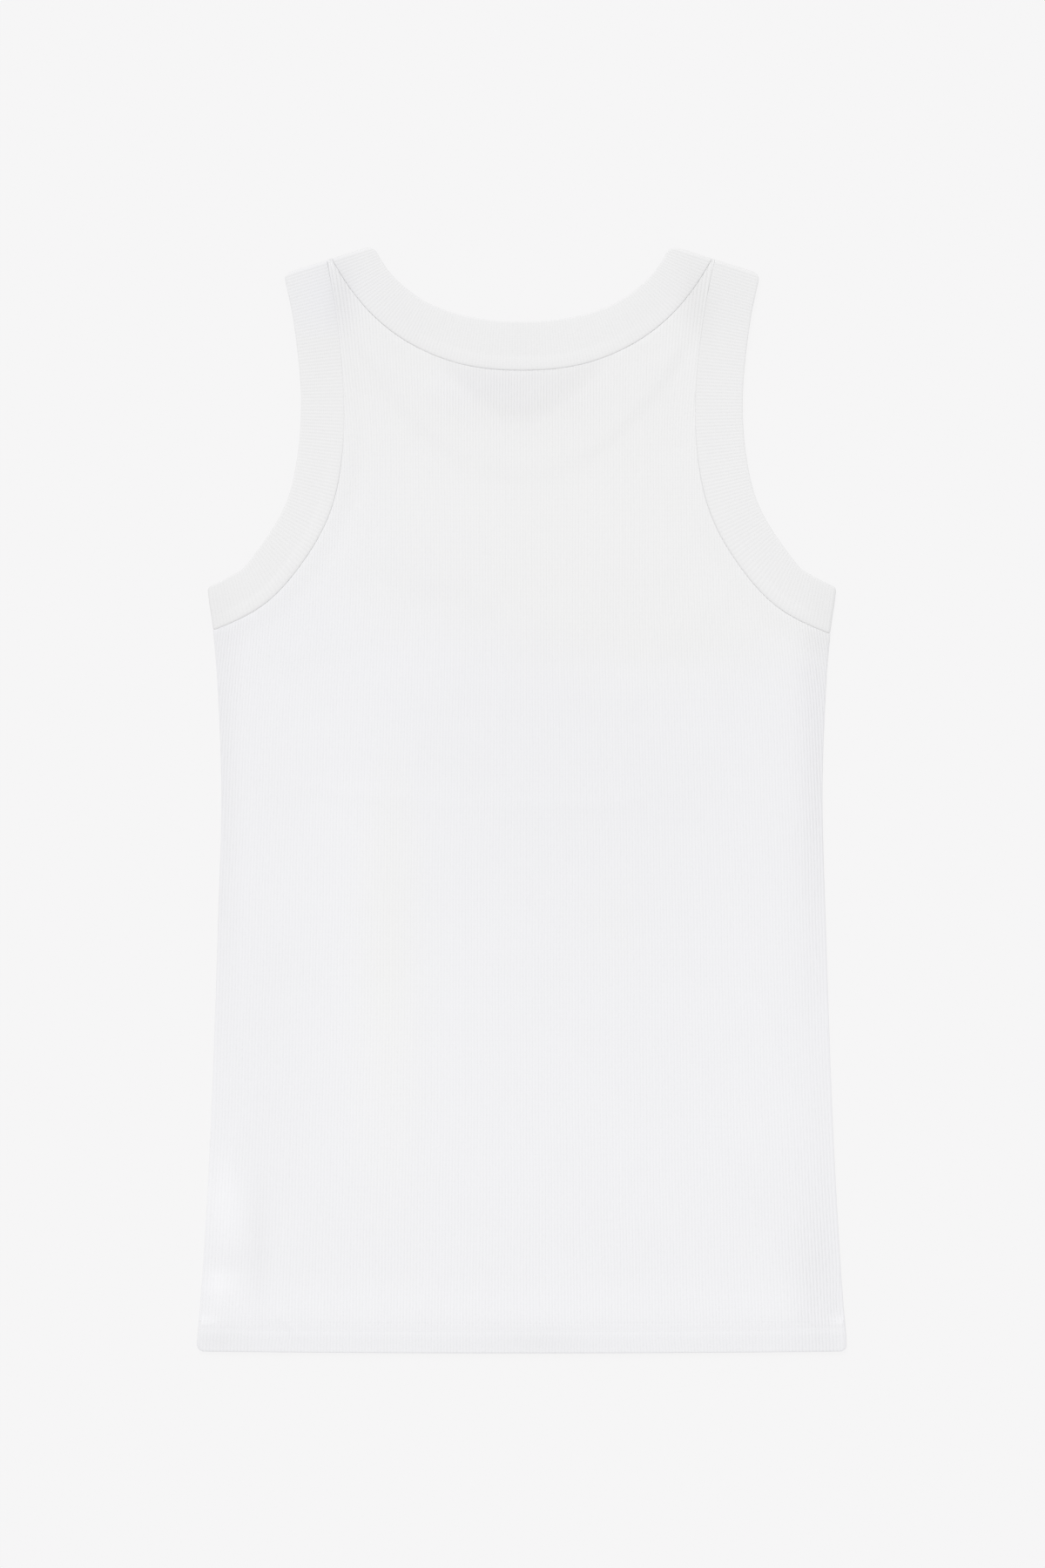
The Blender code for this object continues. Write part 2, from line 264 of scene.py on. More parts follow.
def follow(key, drop):  # a smooth curve through one of the tables above
    xs, ys = np.array(ribs["drop"], float), np.array(ribs[key], float)
    slopes = np.gradient(ys, xs)
    k = np.clip(np.searchsorted(xs, drop) - 1, 0, len(xs) - 2)
    step = xs[k + 1] - xs[k]
    t = np.clip((drop - xs[k]) / step, 0, 1)
    rise = ys[k + 1] - ys[k]
    start, end = slopes[k] * step, slopes[k + 1] * step
    return ys[k] + start * t + (3 * rise - 2 * start - end) * t**2 + (start + end - 2 * rise) * t**3


def toPlace(across, y):  # where a rib, counted in millimetres at the waist, lies at height y
    middle, sides = follow("middle", top - y), follow("sides", top - y)
    x = across * (middle + (sides - middle) * np.abs(across / ribs["reach"]) ** 3)
    for size, byY, byX, start in ribs["sways"]:
        x = x + size * np.sin(byY * y + byX * across + start)
    for atX, atY, reachX, reachY, swing in ribs["bends"]:
        x = x + swing * np.exp(-(((across - atX) / reachX) ** 2 + ((y - atY) / reachY) ** 2))
    return x


def toAcross(x, y):  # the way back, found in a few steps
    across = x
    for _ in range(12):
        across = across - (toPlace(across, y) - x) * 0.9
    return across


phases = np.array(ribs["phases"])
columns = (np.arange(-ribs["eachWay"], ribs["eachWay"] + 1)[:, None] + phases).ravel() * ribs["pitch"]

netting = {  # how closely the panels are meshed
    "rowStep": 7.2,
    "squeeze": 12.0,  # cells are this much longer along the ribs than across them
    "rim": 0.72,  # width of the strip that rounds off every edge
    "rimRows": (0.1, 0.42),  # where its rows of points lie, as shares of that width
    "tipRim": 0.32,  # share of its width left at the narrow strap tips
    "tipReach": (2.5, 9.0),  # distance from a tip where it begins to widen, and over which it does
    "clear": 0.22,  # no other point is nearer to the strip than this
    "outlineStep": 0.2,  # how closely the outline is read where the ribs cross it
    "besideCorner": 4.2,  # of those steps, with no crossing in them
    "closeRows": [(-14.0, 14.0, 4.0), (75.0, 92.0, 4.0), (218.0, 292.0, 4.0)],  # from, to, step
    "hemRows": (
        1.3, 2.4, 4.2, 7.0, 10.0, 12.4, 13.6, 14.3, 14.9, 15.5, 16.1, 17.0, 18.2, 19.6, 21.5, 24.5, 29.0,
    ),
    "bowFade": 60.0,  # the lowest rows bow with the hem up to here
    # the hidden face is meshed wider
    "innerStep": 13.0,
    "innerReach": 220.0,
    "innerHem": (17.5, 18.8, 20.5, 22.2, 23.6),
    "innerHemStep": 6.0,
    "innerHemBand": (20.0, 8.0),  # height and half height of the band that has only those lines
    "innerRimRows": (0.3,),
    "innerClear": 2.4,
}


def bowAt(x):
    reach = side["half"][-1] - garment["hemCorner"]
    return garment["hemBow"] * np.clip(np.abs(x) / reach, 0, 1) ** 2


def halfStretches(edge, widths):  # a panel's outline on the right, from the middle of the hem to the neck
    radius = garment["hemCorner"]
    x = np.linspace(0, side["half"][-1] - radius, 60)
    hem = np.column_stack([x, bottom + bowAt(x)])
    turn = np.linspace(-math.pi / 2, 0, 13)
    corner = hem[-1] + (0, radius) + radius * np.column_stack([np.cos(turn), np.sin(turn)])
    arm = armSeam(widths, garment["armGap"])[::-1]
    neck = neckSeam(edge, garment["neckGap"])
    underarm = arm[0] + sideOut * foldOut
    line = sideLine[::-1]
    flank = np.vstack([corner[-1:], line[line[:, 1] < underarm[1] - 4.5], underarm])
    tip = np.array([arm[-1], neck[0]]) + shoulderUp * foldOut
    return [
        hem, corner, flank, np.vstack([underarm, arm[:1]]), arm,
        np.vstack([arm[-1:], tip[:1]]), tip, np.vstack([tip[1:], neck[:1]]), neck,
    ]


def panelStretches(edge):  # all round a panel, against the clock
    right = halfStretches(edge, rightWidth)
    left = [flipped(stretch)[::-1] for stretch in halfStretches(edge, leftWidth)[::-1]]
    return right + left


def closedOutline(edge):
    line = np.vstack([stretch[:-1] for stretch in panelStretches(edge)])
    kept = np.r_[True, np.linalg.norm(np.diff(line, axis=0), axis=1) > 0.03]
    return np.vstack([line[kept], line[:1]])


def rimOf(edge):  # the outline and its rim's inner side, with a station at every mesh column they cross
    stretches = panelStretches(edge)
    lines = [byStep(stretch, netting["outlineStep"])[:-1] for stretch in stretches]
    starts = np.cumsum([0] + [len(line) for line in lines])
    line = np.vstack(lines)
    before, after = unit(line - np.roll(line, 1, axis=0)), unit(np.roll(line, -1, axis=0) - line)
    along = unit(before + after)
    inward = np.column_stack([-along[:, 1], along[:, 0]])
    inward /= np.maximum((along * before).sum(axis=1), 0.6)[:, None]  # reaches further at a corner
    tips = [one.mean(axis=0) for one in stretches if wayAlong(one)[-1] < 6 and one[0, 1] > top - 40]
    fromTip = np.min([np.linalg.norm(line - tip, axis=1) for tip in tips], axis=0)
    near, over = netting["tipReach"]
    least = netting["tipRim"]
    width = netting["rim"] * (least + (1 - least) * smooth((fromTip - near) / over))
    inside = line + inward * width[:, None]

    wrapped = np.vstack([inside, inside[:1]])
    count = np.interp(toAcross(wrapped[:, 0], wrapped[:, 1]), columns, np.arange(len(columns)))
    whole = np.floor(count)
    crossing = np.flatnonzero(whole[1:] != whole[:-1])
    wanted = np.maximum(whole[1:], whole[:-1])[crossing]
    at = crossing + (wanted - count[crossing]) / (count[crossing + 1] - count[crossing])
    sharp = [k for k in starts[:-1] if (before[k] * after[k]).sum() < 0.97]  # true corners
    corners = np.unique(np.r_[0, sharp, len(line)])
    fromCorner = np.abs(at[:, None] - corners[1:-1]).min(axis=1)
    at = np.sort(np.r_[at[fromCorner > netting["besideCorner"]], corners])
    longest = netting["rowStep"] / netting["outlineStep"]
    at = np.concatenate([
        np.linspace(a, b, max(2, math.ceil((b - a) / longest) + 1))[:-1] for a, b in zip(at, at[1:])
    ])
    closed = np.vstack([line, line[:1]])
    return [readAt(one, np.arange(len(closed)), at) for one in (closed, wrapped)]


def rowsUp():
    rows = [bottom + row for row in netting["hemRows"]]
    y = rows[-1] + netting["rowStep"]
    while y < top:
        rows.append(y)
        step = netting["rowStep"]
        for low, high, close in netting["closeRows"]:
            if low <= y < high:
                step = close
        y += step
    return rows


def gridPoints():  # points on the ribs' own columns, as (across, x, y)
    found = []
    for y in rowsUp():
        bow = (1 - smooth((y - bottom) / netting["bowFade"])) * bowAt(columns)
        found.append(np.column_stack([columns, toPlace(columns, y + bow), y + bow]))
    return np.vstack(found)


def triangulated(plan, rim, scale):
    ring = [(k, (k + 1) % rim) for k in range(rim)]
    made = delaunay_2d_cdt((plan / scale).tolist(), ring, [], 1, 1e-6)
    points, faces = (np.array([tuple(one) for one in made[k]]) for k in (0, 2))
    return points * scale, faces


# lines left in the cloth by folding and handling: width, height (sunk if below 0), path
backCreases = [
    (2.7, 0.17, [(-174, 17), (-120, 6), (-64, -2), (3, -5), (60, -3), (80, -1)]),
    (7, 0.26, [(-69, 100), (-70, 20), (-68, -80), (-70, -180), (-69, -262)]),
    (7, -0.22, [(-27, 88), (40, 86), (100, 89), (146, 91)]),
    (9, -0.38, [(-98, 144), (-60, 133), (-21, 120)]),
    (8, 0.28, [(-150, 92), (-118, 108), (-92, 112)]),
    (5, -0.42, [(-184, 126), (-186, 40), (-183, -60), (-187, -150), (-188, -205)]),
    (5, -0.55, [(190, 96), (191, 30), (189, -50), (190, -120), (193, -166)]),
    (9, 0.4, [(-188, -222), (-189, -240), (-190, -256)]),
    (8, 0.4, [(-196, -306), (-195, -324)]),
    (7, -0.4, [(196, -318), (192, -332), (186, -341)]),
    (1.5, -0.5, [(198, -336.5), (208, -332.5)]),
    (1.6, 0.5, [(197, -340), (208, -337.5)]),
    (2.6, 0.45, [(-158, -336), (-150, -343), (-142, -351)]),
    (7, 0.24, [(-128, 168), (-108, 150), (-92, 120)]),
    (9, 0.2, [(112, 176), (92, 158), (80, 132)]),
    (11, 0.22, [(150, 118), (128, 84), (120, 40)]),
    (12, 0.2, [(-150, -60), (-132, -120), (-140, -190)]),
    (14, -0.2, [(40, -120), (58, -200), (50, -270)]),
    (10, 0.18, [(120, -190), (136, -250), (131, -300)]),
    (9, 0.16, [(-40, -300), (0, -312), (44, -306)]),
]
frontCreases = [
    (5, 0.22, [(-150, 6), (-80, 0), (10, -4), (78, 0)]),
    (7, 0.26, [(71, 130), (69, 20), (72, -90), (70, -240)]),
    (9, 0.32, [(-120, 150), (-80, 128), (-36, 118)]),
    (10, 0.3, [(134, 134), (98, 112), (70, 66)]),
    (12, 0.22, [(-60, -120), (-82, -190), (-70, -262)]),
    (8, 0.26, [(150, -226), (166, -280), (158, -318)]),
    (8, 0.28, [(-176, -250), (-168, -300)]),
]
drape = {
    "loft": 0.55,  # how far the middle of the back stands off the front
    "loftReach": 26.0,
    "swell": (0.16, 110, 11),  # slow rise and fall all over: height, length, seed
    "ripple": (0.05, 26, 12),
    "frontLoft": 0.05,
    "frontSwell": (0.05, 90, 5),
    "fadeReach": 9.0,  # creases run out this near to an edge
    "sideGap": 0.04,  # at the sides the back lies right on the front
    "sideReach": 15.0,
    "sideBelow": (6.0, 22.0),  # how far under the arm bindings that sets in, and over how much
    "hemRise": 34.0,  # length over which the back climbs onto the doubled hems
    "hemStep": 5.0,
    "stitchRows": (14.5, 20.1),  # distance of the two rows of stitching from the bottom edge
    "stitchDip": (0.24, 0.1),
    "dipReach": (1.7, 2.8),  # below and above each row
    "hemFall": 0.55,  # how far the doubled hem rolls down towards its edge
    "hemFallReach": 13.0,
    "edgeRadius": 0.66,  # of a panel's rounded edge, in its thicknesses
    "foldRadius": 0.95,
    "foldReach": (0.3, 3.0),  # how far in from a fold the panels part, and over how much
    "strapRounding": 0.82,  # how much less the seams beside the straps are rounded
    "strapDrop": (16, 22, 122, 62),  # drops where that sets in, over how much, where it ends, over how much
    "strapOut": (96, 8),  # the same for the distance from the middle
}


def creased(points, creases):
    total = np.zeros(len(points))
    for number, (width, height, path) in enumerate(creases):
        line = byStep(np.array(path, float), 10)
        uneven = 0.82 + 0.18 * np.sin(points @ (0.05, 0.07) + 2.3 * number)  # no crease is even
        total += height * uneven * np.exp(-((distance(points, line) / width) ** 2))
    return total


def waves(points, height, length, seed):  # nine slow waves, each its own way
    draw = np.random.default_rng(seed)
    total = np.zeros(len(points))
    for _ in range(9):
        angle = draw.uniform(0, math.pi)
        phase = draw.uniform(0, 2 * math.pi)
        size = length * draw.uniform(0.7, 1.7)
        way = (math.cos(angle), math.sin(angle))
        total += np.sin((points @ way) * 2 * math.pi / size + phase)
    return height * (total / 3)


def fromHem(points):
    return points[:, 1] - bottom - bowAt(points[:, 0])


def doubled(points):  # 1 where the hem is turned up
    return 1 - smooth((fromHem(points) - garment["hemDepth"]) / drape["hemStep"])


def neckRest(points):  # underside of the back, without what lifts it at its own seams
    beyond = smooth((distance(points, frontOpening) - garment["sagStart"]) / garment["sagReach"])
    overOpening = garment["overBand"] * (1 - beyond)
    nearBand = 1 - smooth(distance(points, frontSeam) / garment["bandReach"])
    overPanel = garment["overPanel"] + (garment["overBand"] - garment["overPanel"]) * nearBand
    overPanel[above(points, frontSeam)] = garment["overBand"]
    return np.where(above(points, frontOpening), overOpening, overPanel)


def besideStrap(points):  # 1 along the straps' outer seams, which lie almost level
    x, drop = np.abs(points[:, 0]), top - points[:, 1]
    start, over, until, fading = drape["strapDrop"]
    out, widening = drape["strapOut"]
    down = smooth((drop - start) / over) * (1 - smooth((drop - until) / fading))
    return down * smooth((x - out) / widening)


def backRest(points):  # underside of the single back, up to the bindings at its seams
    reach, lift = garment["liftReach"], garment["seamLift"]
    rest = neckRest(points)
    nearArm = np.maximum(*[1 - smooth(distance(points, seam) / reach) for seam in (leftSeam, rightSeam)])
    nearNeck = 1 - smooth(distance(points, backSeam) / reach)
    lifted = garment["overBand"] + lift + garment["strapLift"] * besideStrap(points)
    return np.maximum(rest + (lifted - rest) * nearArm, rest + lift * nearNeck)


def frontFace(points, fromEdge):
    fade = smooth(fromEdge / drape["fadeReach"])
    low = creased(points, frontCreases) + drape["frontLoft"] + waves(points, *drape["frontSwell"])
    return fade * np.maximum(low, 0)


def backFace(points, fromEdge):
    low = creased(points, backCreases) + waves(points, *drape["swell"]) + waves(points, *drape["ripple"])
    low = smooth(fromEdge / drape["fadeReach"]) * low
    low += drape["loft"] * smooth(fromEdge / drape["loftReach"])
    low = (low + np.sqrt(low**2 + 0.03)) / 2  # never below the front
    climb = 1 - smooth((fromHem(points) - garment["hemDepth"] + 2) / drape["hemRise"])
    free = backRest(points) + low + garment["cloth"] * (1 + 2 * climb)
    settled = 2 * garment["cloth"] * (1 + doubled(points)) + drape["sideGap"]
    start, over = drape["sideBelow"]
    beside = 1 - smooth((fromSide(points) - 1) / drape["sideReach"])
    beside = beside * smooth((belowArm(points) - start) / over)
    return free + (settled - free) * beside + frontFace(points, fromEdge)


def fromSide(points):  # distance in from the side folds, below the arms
    x, drop = np.abs(points[:, 0]), top - points[:, 1]
    return np.maximum(np.interp(drop, side["drop"], side["half"]) - x, 0)


def belowArm(points):  # how far under the seam of the arm binding
    seamEnd = np.where(points[:, 0] > 0, rightSeam[-1, 1], leftSeam[-1, 1])
    return seamEnd + (sideOut * foldOut)[1] - points[:, 1]


def onFold(points):  # 1 where back and front join: at the sides, and at the top of the straps
    start, over = drape["foldReach"]
    flank = (1 - smooth((fromSide(points) - start) / over)) * smooth((belowArm(points) + 1) / 1.5)
    tips = [1 - smooth((distance(points * (mirror, 1), strapTip) - start) / over) for mirror in (1, -1)]
    return np.max([flank, *tips], axis=0)


def meetingLevel(points, fromEdge):  # halfway between the back's underside and the front's upper side
    return (backFace(points, fromEdge) + frontFace(points, fromEdge)) / 2


def stitchDip(points):
    away = fromHem(points)
    dip = np.zeros(len(points))
    below, over = drape["dipReach"]
    for row, depth in zip(drape["stitchRows"], drape["stitchDip"]):
        dip += depth * np.exp(-(((away - row) / np.where(away > row, over, below)) ** 2))
    return dip + drape["hemFall"] * (1 - smooth(away / drape["hemFallReach"]))


oneStep = 0.0092  # share of the light that makes one step of tone in white cloth
paintedLightAndShade = [  # painted light and shade: where the cloth looks lighter, or darker, than elsewhere, as along the side folds, the hem's edge, creases, raised folds and strap tips: x, y, reach in x and y, steps
    (30, 30, 120, 95, -1.5),
    (0, -230, 170, 90, 0.9),
    (-108, -60, 38, 170, 1.3),
    (200, 40, 16, 130, -4.4),
    (203, -230, 14, 60, -0.8),
    (-200, 20, 12, 130, -4.2),
    (150, -150, 30, 80, 0.8),
    (-88, -185, 24, 60, 0.8),
    (0, -357, 600, 11, -0.7),
    (-193, -262, 11, 25, 4.2),
    (-197, -314, 11, 9, 5.0),
    (-190, -299, 14, 6, -2.2),
    (-171, -290, 7, 42, -2.8),
    (-199, -350, 15, 10, -3.0),
    (193, -320, 15, 42, -2.3),
    (12, -353, 26, 9, -2.6),
    (-14, 258, 58, 17, -1.2),
    (0, 230, 90, 60, -0.4),
    (-92, 285, 30, 26, -1.5),
    (92, 275, 26, 26, -0.8),
    (-100, 147, 22, 8, -1.1),
    (-62, 133, 24, 8, -1.7),
    (-30, 122, 16, 8, -1.3),
    (-130, 330, 32, 38, -2.2),
    (-118, 329, 9, 22, -5.5),
    (114, 323, 10, 22, -5.5),
    (130, 330, 32, 38, -1.6),
]
coolPlaces = [  # and where it looks cooler, or warmer
    (-150, 110, 110, 110, 0.8),
    (-86, -85, 20, 150, -1.0),
    (60, -80, 16, 30, -0.3),
    (90, 130, 70, 60, -0.6),
    (-20, 268, 40, 14, 0.5),
    (-128, 330, 26, 30, 0.9),
]


def placed(points, places):
    total = np.zeros(len(points))
    for x, y, reachX, reachY, strength in places:
        total += strength * np.exp(-(((points - (x, y)) / (reachX, reachY)) ** 2).sum(axis=1))
    return total


ribStrength = [  # where the ribs stand out more, or less, than elsewhere
    (0, 262, 62, 22, 0.8),
    (190, 20, 10, 140, 1.2),
    (-190, 40, 9, 150, 0.5),
    (192, -310, 18, 70, 1.4),
    (-122, 338, 16, 40, 1.5),
    (122, 338, 16, 40, 1.2),
    (0, -300, 150, 60, 0.25),
    (-10, 190, 90, 22, -0.3),
    (-60, -120, 60, 120, -0.2),
]
looks = {
    "thinFrom": -3.0,  # the single cloth takes painted shade from here past the front neckline
    "thinOver": 12.0,
    "coolBelow": 60.0,  # the lower half is cooler, up to here
    "coolOver": 80.0,  # and less and less over this height
    "coolStraps": 300.0,  # the bindings are cooler only above this
}


def seenAs(points, thin, cool):  # how thin the cloth is seen, how much lighter or darker its painted light and shade make it, and how cool
    return np.column_stack([thin, oneStep * placed(points, paintedLightAndShade), np.clip(cool, 0, 1)])


def bandLooks(points):
    cool = placed(points, coolPlaces) * (points[:, 1] > looks["coolStraps"])
    return seenAs(points, np.zeros(len(points)), cool)


def clothLooks(points):
    past = distance(points, frontOpening) - looks["thinFrom"]
    thin = np.where(above(points, frontOpening), smooth(past / looks["thinOver"]), 0)
    cool = 1 - smooth((points[:, 1] - looks["coolBelow"]) / looks["coolOver"])
    return seenAs(points, thin, cool + placed(points, coolPlaces))


def inScene(name, data):
    added = bpy.data.objects.new(name, data)
    bpy.context.scene.collection.objects.link(added)
    return added


def addMesh(name, points, faces, rib, relief, uv, seen, inside, around=0):
    made = bpy.data.meshes.new(name)
    made.from_pydata((points * mm).tolist(), [], faces.tolist())
    for label, kind, key, values in (
        ("rib", "FLOAT", "value", rib),
        ("relief", "FLOAT_VECTOR", "vector", relief),
        ("looks", "FLOAT_VECTOR", "vector", seen),
        ("inside", "FLOAT", "value", inside),
    ):
        layer = made.attributes.new(label, kind, "POINT")
        layer.data.foreach_set(key, values.astype(np.float32).ravel())
    corners = np.empty(len(made.loops), np.int32)
    made.loops.foreach_get("vertex_index", corners)
    flat = uv[corners].reshape(len(faces), -1, 2)
    if around:  # the face that closes the ring runs on from the last rib, not back to the first
        closing = flat[..., 0] < flat[..., 0].max(axis=1, keepdims=True) - around / 2
        flat[..., 0] += around * closing
    made.uv_layers.new(name="knit").data.foreach_set("uv", flat.astype(np.float32).ravel())
    made.polygons.foreach_set("use_smooth", np.ones(len(made.polygons), bool))
    return inScene(name, made)


def ringStrip(first, second, count):  # faces between two closed rows of the same number of points
    k = np.arange(count)
    after = (k + 1) % count
    one = np.column_stack([first + k, first + after, second + after])
    other = np.column_stack([first + k, second + after, second + k])
    return np.vstack([one, other])


def withRim(rim, inside, shares, filling, faces):  # the filling's own first points are the inner side
    count, rows = len(rim), len(shares) + 1
    strips = [rim + (inside - rim) * share for share in shares]
    ring = [ringStrip(k * count, (k + 1) * count, count) for k in range(rows)]
    return np.vstack([rim, *strips, filling]), np.vstack([*ring, faces + rows * count])


def outerNet(rim, inside):  # the face that shows: points on the ribs' columns, and the rim round them
    grid = gridPoints()
    grid = grid[within(grid[:, 1:], inside)]
    grid = grid[distance(grid[:, 1:], np.vstack([inside, inside[:1]])) > netting["clear"]]
    start = np.column_stack([toAcross(inside[:, 0], inside[:, 1]), inside[:, 1]])
    scale = np.array([1.0, netting["squeeze"]])
    plan, faces = triangulated(np.vstack([start, grid[:, [0, 2]]]), len(rim), scale)
    filling = np.column_stack([toPlace(plan[:, 0], plan[:, 1]), plan[:, 1]])
    return withRim(rim, inside, netting["rimRows"], filling, faces)


def innerNet(rim, inside, closed):  # the hidden face
    step, reach = netting["innerStep"], side["half"][-1]
    coarse = np.array([
        (x, y)
        for number, y in enumerate(np.arange(bottom, top, step * 0.87))
        for x in np.arange(step / 2 * (number % 2) - netting["innerReach"], netting["innerReach"], step)
    ])
    middle, half = netting["innerHemBand"]
    ends = np.array([(-reach, 0.0), (reach, 0.0)])
    hemLines = [byStep(ends + (0, bottom + rise), netting["innerHemStep"]) for rise in netting["innerHem"]]
    coarse = np.vstack([coarse[np.abs(coarse[:, 1] - bottom - middle) > half], *hemLines])
    coarse = coarse[within(coarse, inside)]
    coarse = coarse[distance(coarse, closed) > netting["innerClear"]]
    filling, faces = triangulated(np.vstack([inside, coarse]), len(rim), np.array([1.0, 1.0]))
    return withRim(rim, inside, netting["innerRimRows"], filling, faces)


def panelLevels(points, fromEdge, face, sign):  # heights of a panel's two faces, rounded off at its edge
    thick = garment["cloth"] * (1 + doubled(points))
    out = face(points, fromEdge)
    level = out - sign * stitchDip(points)
    under = out - sign * thick
    fold = onFold(points)
    under += (meetingLevel(points, fromEdge) + sign * drape["sideGap"] / 2 - under) * fold
    radius = drape["edgeRadius"] * thick * (1 - drape["strapRounding"] * besideStrap(points)) * (1 - fold)
    radius = radius + drape["foldRadius"] * np.abs(level - under) * fold
    roundness = np.sqrt(1 - (1 - np.clip(fromEdge / radius, 0, 1)) ** 2)
    middle = (level + under) / 2 * (1 - fold) + under * fold
    return [middle + (one - middle) * roundness for one in (level, under)]


def addPanel(name, edge, face, up):
    sign = 1 if up else -1
    closed = closedOutline(edge)
    rim, inside = rimOf(edge)
    count = len(rim)
    outer, outerFaces = outerNet(rim, inside)
    inner, innerFaces = innerNet(rim, inside, closed)
    sheets = []
    for number, plan in enumerate((outer, inner)):
        fromEdge = distance(plan, closed)
        fromEdge[:count] = 0
        sheets.append(np.column_stack([plan, panelLevels(plan, fromEdge, face, sign)[number]]))
    points = np.vstack([sheets[0], sheets[1][count:]])  # both faces share the rim
    innerFaces = np.where(innerFaces < count, innerFaces, innerFaces + len(outer) - count)
    if up:
        innerFaces = innerFaces[:, ::-1]
    else:
        outerFaces = outerFaces[:, ::-1]

    plan = points[:, :2]
    rib = toAcross(points[:, 0], points[:, 1]) / ribs["pitch"]
    strength = np.repeat([ribs["atRim"], 1, 0], [count, len(outer) - count, len(inner) - count])
    fromStitches = (fromHem(plan) - drape["stitchRows"][0]) / ribs["squeezeReach"]
    squeezed = 1 - ribs["squeeze"] * np.exp(-(fromStitches**2))
    relief = np.outer(strength * squeezed * sign * (1 + placed(plan, ribStrength)), (0, 0, 1))
    uv = np.column_stack([rib, points[:, 1] / ribs["course"]])
    hidden = 1.0 * (np.arange(len(points)) >= len(outer))
    faces = np.vstack([outerFaces, innerFaces])
    print(name, len(faces), "triangles")
    return addMesh(name, points, faces, rib, relief, uv, clothLooks(plan), hidden)


def makeTree(name, values):  # an empty Geometry Nodes tree with an input for each of these
    tree = bpy.data.node_groups.new(name, "GeometryNodeTree")
    tree.is_modifier = True
    for way in ("INPUT", "OUTPUT"):
        tree.interface.new_socket("Geometry", in_out=way, socket_type="NodeSocketGeometry")
    for label, value in values.items():
        kind = {float: "Float", int: "Int"}.get(type(value), "Material")
        tree.interface.new_socket(label, in_out="INPUT", socket_type="NodeSocket" + kind)
    return tree


def addNode(tree, kind, settings=None, **values):  # values name a socket, or number it as in0, in1
    node = tree.nodes.new(kind)
    for key, value in (settings or {}).items():
        setattr(node, key, value)
    for key, value in values.items():
        socket = node.inputs[int(key[2:]) if key[:2] == "in" and key[2:].isdigit() else key]
        if isinstance(value, bpy.types.NodeSocket):
            tree.links.new(value, socket)
        else:
            socket.default_value = value
    return node


def outOf(tree, kind, settings=None, **values):  # the new node's first output
    return addNode(tree, kind, settings, **values).outputs[0]


def maths(tree, operation, a, b=0.0):
    return outOf(tree, "ShaderNodeMath", {"operation": operation}, in0=a, in1=b)


def times(tree, a, b):
    return maths(tree, "MULTIPLY", a, b)


def ditchOf(tree, count, sharpness):  # 0 on a rib's crest, 1 in the ditch beside it
    phase = maths(tree, "SUBTRACT", maths(tree, "FRACT", maths(tree, "ADD", count, 0.5)), 0.5)
    return maths(tree, "POWER", maths(tree, "ABSOLUTE", times(tree, phase, 2.0)), sharpness)


def scaled(tree, vector, by):
    return outOf(tree, "ShaderNodeVectorMath", {"operation": "SCALE"}, in0=vector, Scale=by)


def endTree(tree, shape, dressing):  # the last nodes of a Geometry Nodes tree
    dressed = outOf(tree, "GeometryNodeSetMaterial", Geometry=shape, Material=dressing)
    tree.links.new(dressed, tree.nodes.new("NodeGroupOutput").inputs[0])
    return tree


def makeRibTree(values):  # sinks the cloth between its ribs
    tree = makeTree("ribRelief", values)
    given = tree.nodes.new("NodeGroupInput").outputs
    rib = outOf(tree, "GeometryNodeInputNamedAttribute", {"data_type": "FLOAT"}, Name="rib")
    relief = outOf(tree, "GeometryNodeInputNamedAttribute", {"data_type": "FLOAT_VECTOR"}, Name="relief")
    place = outOf(tree, "GeometryNodeInputPosition")
    fourWay = {"noise_dimensions": "4D"}
    noise = outOf(tree, "ShaderNodeTexNoise", fourWay, Vector=place, W=given["Seed"], Scale=90.0, Detail=2.0)
    change = times(tree, maths(tree, "SUBTRACT", noise, 0.5), given["Unevenness"])
    depth = times(tree, given["Rib depth"], maths(tree, "ADD", change, 1.0))
    sunk = times(tree, ditchOf(tree, rib, given["Ditch sharpness"]), depth)
    offset = scaled(tree, relief, times(tree, sunk, -1.0))
    moved = outOf(tree, "GeometryNodeSetPosition", Geometry=given["Geometry"], Offset=offset)
    plain = outOf(tree, "GeometryNodeRealizeInstances", Geometry=moved)
    return endTree(tree, plain, given["Cloth"])


def applyTree(piece, tree, values):  # runs the tree on the piece and keeps its result as a plain mesh
    modifier = piece.modifiers.new(tree.name, "NODES")
    modifier.node_group = tree
    for item in tree.interface.items_tree:
        if item.in_out == "INPUT" and item.name in values:
            modifier[item.identifier] = values[item.name]
    graph = bpy.context.evaluated_depsgraph_get()
    result = bpy.data.meshes.new_from_object(piece.evaluated_get(graph), depsgraph=graph)
    piece.modifiers.remove(modifier)
    piece.data = result
    result.name = piece.name
    return piece


